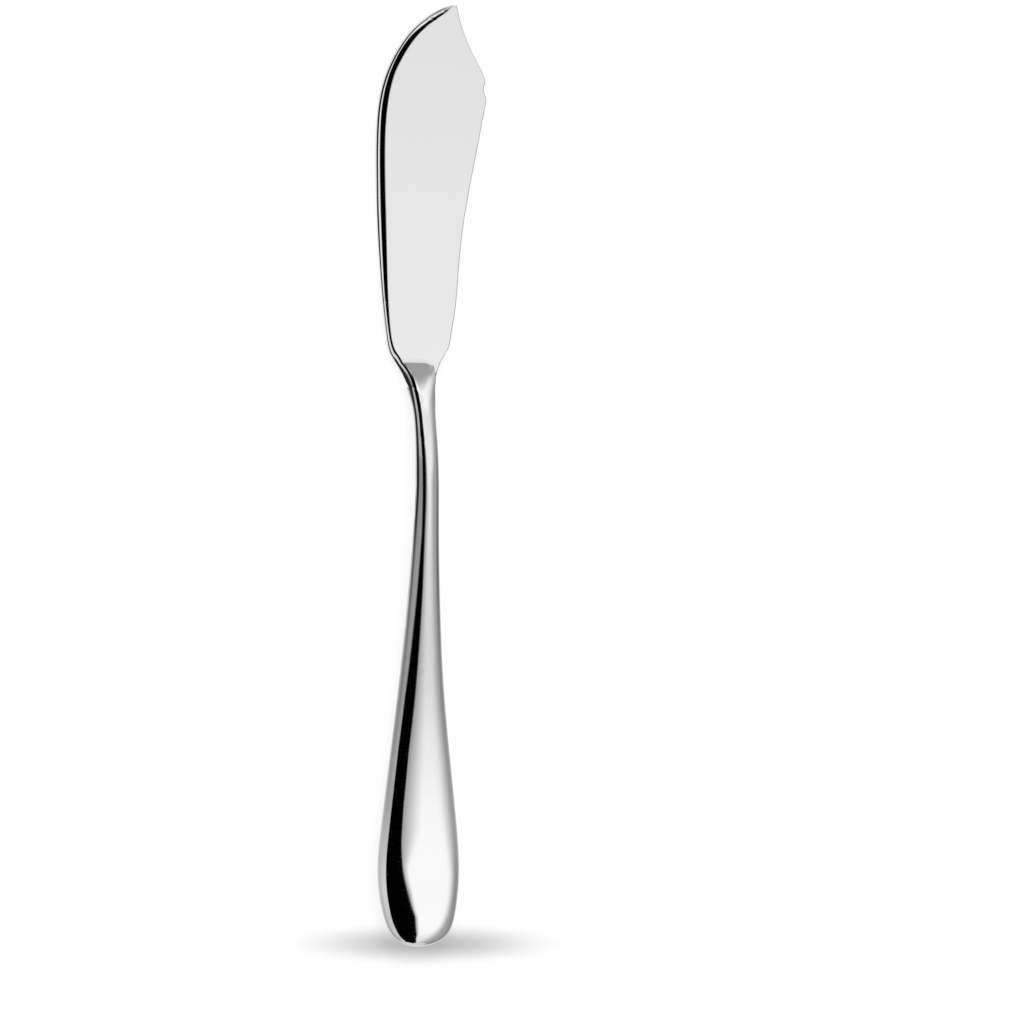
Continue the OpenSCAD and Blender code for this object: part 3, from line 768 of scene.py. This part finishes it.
# Flag over the shoulder, along the flat face's line of sight, so that only the ramp and the neck show it.
# Near the knife it is grey and farther out bright: angle to the right, the distance where it turns from grey to
# bright, and how far that is soft
RIDGE = [(-10, 12, 6), (5, 11.5, 5.5), (25, 8.75, 5.25), (35, 7.5, 4.5), (50, 6, 3), (110, 6, 3)]
RIDGE_LEVEL, RIDGE_BRIGHT_LEVEL, RIDGE_RIGHT = 156, 244, (60, 32)
RIDGE_RIGHT_LEVEL, RIDGE_RIGHT_FAR = 195, (19.5, 10.5, 150)
RIDGE_AT, RIDGE_LEAN, RIDGE_FADE, RIDGE_ENDS = 25, 0.035, (30, 40), (-109, 3, 26, 4)


def ridge_light(ang, r):
    """Grey near the knife and bright farther out, less so to the right."""
    border, soft = by_place(RIDGE, -ang)
    on_right = profile(r, RIDGE_RIGHT_LEVEL, RIDGE_RIGHT_FAR)
    bright = profile(-ang, RIDGE_BRIGHT_LEVEL, (*RIDGE_RIGHT, on_right))
    return tone(profile(r, RIDGE_LEVEL, (border, soft, bright)))


def ridge_cover(ang, r):
    """The flag fades at its rim and at both ends."""
    return (1 - ease(*RIDGE_FADE, r)) * between(ang, *RIDGE_ENDS)


flag("ridge_flag", RIDGE_AT, np.arange(-112, 31, FLAG_STEP), np.arange(3, 41, 0.5), ridge_light, ridge_cover,
     lean=RIDGE_LEAN)

# Flag just past the tip, which shows only in the last millimetres of the rounded edge: a grey line beside the
# outline and a dark patch beside the flat face. x is across the knife and z is up, both in millimetres.
TIP_FLAG_AT, TIP_X, TIP_Z, TIP_STEP, TIP_START = 105.4, (-4.4, 4.5), (-5, 8.3), 0.2, (-4.2, -3.2)
TIP_LEVEL, TIP_LINE_LEVEL, TIP_DARK_LEVEL = 222, 110, (2, (1.75, 1.75, 132))
# The line's top is straight, through this x and z with this slope. It has a width, soft borders and a fainter end.
TIP_LINE_TOP, TIP_LINE_W, TIP_LINE_SOFT, TIP_LINE_SHARE = (-3, 0.9, 0.45), 1.7, (0.5, 0.4), (1, (2.15, 0.65, 0.3))
# The dark patch's foot and top: z to the right, then the step to the left and z beyond it
TIP_DARK_FOOT, TIP_DARK_TOP, TIP_DARK_SOFT = (4.1, (2.1, 0.7, 3.1)), (6.8, (1.6, 0.6, 7.4)), 0.7

tip_x, tip_z = np.meshgrid(np.arange(*TIP_X, TIP_STEP), np.arange(*TIP_Z, TIP_STEP), indexing="ij")
line_top = TIP_LINE_TOP[1] + TIP_LINE_TOP[2] * (tip_x - TIP_LINE_TOP[0])
line_share = between(tip_z, line_top - TIP_LINE_W, TIP_LINE_SOFT[0], line_top, TIP_LINE_SOFT[1])
line_share = line_share * profile(tip_x, *TIP_LINE_SHARE)
dark_share = between(tip_z, profile(-tip_x, *TIP_DARK_FOOT), TIP_DARK_SOFT,
                     profile(-tip_x, *TIP_DARK_TOP), TIP_DARK_SOFT)
tip_level = (TIP_LEVEL + (TIP_LINE_LEVEL - TIP_LEVEL) * line_share
             + (profile(tip_x, *TIP_DARK_LEVEL) - TIP_LEVEL) * dark_share)
tip_ang = np.degrees(np.arctan2(-tip_x, tip_z - AXIS_Z) - VIEW_TILT)
tip_r = np.hypot(tip_x, tip_z - AXIS_Z)
sheet("tip_flag", tip_ang, tip_r, TIP_FLAG_AT + 0 * tip_x, tone(tip_level), ease(*TIP_START, tip_x))


def in_view(tree):
    """1 for what the camera sees, also by way of polish or glass, and 0 for the light that falls on things."""
    rays = add(tree, "ShaderNodeLightPath").outputs
    mirrored = calc(tree, "MAXIMUM", rays["Is Glossy Ray"], rays["Is Transmission Ray"])
    return calc(tree, "MAXIMUM", rays["Is Camera Ray"], mirrored)


# Floor, with a painted shadow under the handle's end: a soft grey oval painted into the floor's colour and its
# glow, which no lamp casts. The painted shadow's middle and half sizes in metres, how it fades and its depth.
# What is seen of the floor is mostly its own white, with a share of real light and shadow from the lamps.
FLOOR_HALF, FLOOR_COLOUR, OWN_WHITE_SHARE = 2.0, 0.96, 0.8
PAINTED_SHADOW_AT, PAINTED_SHADOW_HALF, PAINTED_SHADOW_FADE, PAINTED_SHADOW_DEPTH = (0.0032, -0.1047, 0), (0.042, 0.0062, 1), 3.2, 0.5

floor_mat, floor_tree, floor_shader = material("floor")
# Painted shadow: shade is 1 outside the oval and falls to 1 minus its depth in the middle
oval = add(floor_tree, "ShaderNodeMapping", {
    "Vector": object_place(floor_tree), "Location": PAINTED_SHADOW_AT, "Scale": PAINTED_SHADOW_HALF,
}, vector_type="TEXTURE")
from_middle = add(floor_tree, "ShaderNodeVectorMath", {0: oval.outputs["Vector"]}, operation="LENGTH")
squared = calc(floor_tree, "POWER", from_middle.outputs["Value"], 2)
inside = calc(floor_tree, "SUBTRACT", 1, squared, use_clamp=True)
shade = calc(floor_tree, "MULTIPLY_ADD", calc(floor_tree, "POWER", inside, PAINTED_SHADOW_FADE), -PAINTED_SHADOW_DEPTH, 1)
# The painted shadow darkens the floor's colour
feed(floor_tree, floor_shader, {
    "Base Color": calc(floor_tree, "MULTIPLY", shade, FLOOR_COLOUR), "Roughness": 1, "Specular IOR Level": 0,
})
# The floor's white glow, which the camera sees, carries the painted shadow too
floor_seen = add(floor_tree, "ShaderNodeMixShader", {
    0: calc(floor_tree, "MULTIPLY", in_view(floor_tree), OWN_WHITE_SHARE),
    1: floor_shader.outputs[0],
    2: add(floor_tree, "ShaderNodeEmission", {"Strength": shade}).outputs[0],
})
feed(floor_tree, floor_tree.nodes["Material Output"], {"Surface": floor_seen.outputs[0]})
corners = [(x * FLOOR_HALF, y * FLOOR_HALF, 0) for x, y in ((-1, -1), (1, -1), (1, 1), (-1, 1))]
floor_mesh = bpy.data.meshes.new("floor")
floor_mesh.from_pydata(corners, [], [(0, 1, 2, 3)])
floor_mesh.materials.append(floor_mat)
floor = bpy.data.objects.new("floor", floor_mesh)
bpy.context.scene.collection.objects.link(floor)
floor.visible_glossy = False

# Plain light all round, and full white where it is seen
WORLD_STRENGTH, SEEN_EXTRA = 0.9, 0.1
world = bpy.data.worlds.new("studio")
bpy.context.scene.world = world
world.use_nodes = True
feed(world.node_tree, world.node_tree.nodes["Background"], {
    "Color": (1, 1, 1, 1),
    "Strength": calc(world.node_tree, "MULTIPLY_ADD", in_view(world.node_tree), SEEN_EXTRA, WORLD_STRENGTH),
})

# Soft key light along the knife, for a faint shadow
KEY_STRENGTH, KEY_SPREAD, KEY_TILT = 1.6, math.radians(24), math.radians(-50)
lamp = bpy.data.lights.new("key", "SUN")
lamp.energy = KEY_STRENGTH
lamp.angle = KEY_SPREAD
key = bpy.data.objects.new("key", lamp)
bpy.context.scene.collection.objects.link(key)
key.rotation_euler = (KEY_TILT, 0, 0)
key.visible_glossy = False

# Camera: tilted to the left of straight above by the viewing side's angle, and a little turned. Its target is in
# millimetres and its distance from there in metres.
LENS, SENSOR, NEAR_CLIP = 189.52, 36, 0.01
CAMERA_DISTANCE, CAMERA_TURN = 1.2, math.radians(1.25)
CAMERA_TARGET = np.array([18.57, -7.78, 9.07])
across = np.array([math.cos(VIEW_TILT), 0, math.sin(VIEW_TILT)])
along = np.array([0, 1.0, 0])
toward = np.array([-math.sin(VIEW_TILT), 0, math.cos(VIEW_TILT)])
camera_x = math.cos(CAMERA_TURN) * across + math.sin(CAMERA_TURN) * along
camera_y = -math.sin(CAMERA_TURN) * across + math.cos(CAMERA_TURN) * along
camera_at = CAMERA_TARGET * MM + CAMERA_DISTANCE * toward
camera_data = bpy.data.cameras.new("camera")
camera_data.sensor_width = SENSOR
camera_data.lens = LENS
camera_data.clip_start = NEAR_CLIP
camera = bpy.data.objects.new("camera", camera_data)
bpy.context.scene.collection.objects.link(camera)
turned = np.stack([camera_x, camera_y, toward, camera_at], axis=1)
camera.matrix_world = Matrix([*turned.tolist(), [0, 0, 0, 1]])
bpy.context.scene.camera = camera
bpy.context.scene.view_settings.view_transform = "Standard"
